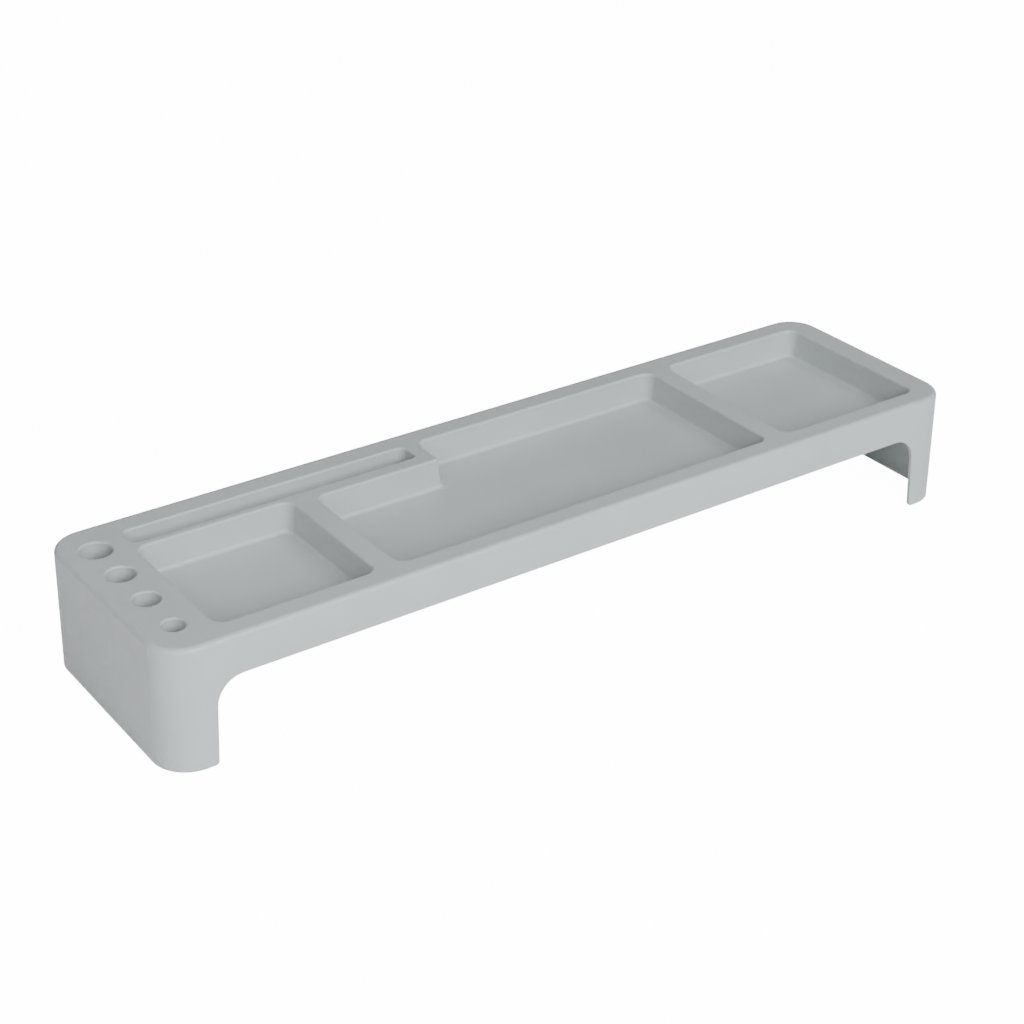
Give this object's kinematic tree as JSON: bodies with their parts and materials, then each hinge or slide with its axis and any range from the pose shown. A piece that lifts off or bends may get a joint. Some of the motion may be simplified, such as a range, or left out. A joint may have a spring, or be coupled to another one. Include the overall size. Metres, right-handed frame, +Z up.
{
  "type": "over-keyboard riser stand",
  "caption": "Low open-bottomed moulded plastic shelf that bridges a keyboard, with recessed trays, a card slot and pen cups in its deck and rubber pads under its legs.",
  "frame": {"origin": "on the desk surface, under the middle of the stand's bounding box", "axes": "+X along the length towards the end without pen cups, +Y to the rear where the slot is, +Z up"},
  "size_m": [0.5224, 0.1394, 0.07],
  "materials": {
    "moulded_plastic": "fine matte moulded texture, cool light grey",
    "pad_rubber": "matte grey rubber"
  },
  "bodies": {
    "root": {"shelf_body": "moulded_plastic", "foot_pad_front_left": "pad_rubber", "foot_pad_front_right": "pad_rubber", "foot_pad_rear_left": "pad_rubber", "foot_pad_rear_right": "pad_rubber"}
  },
  "joints": []
}
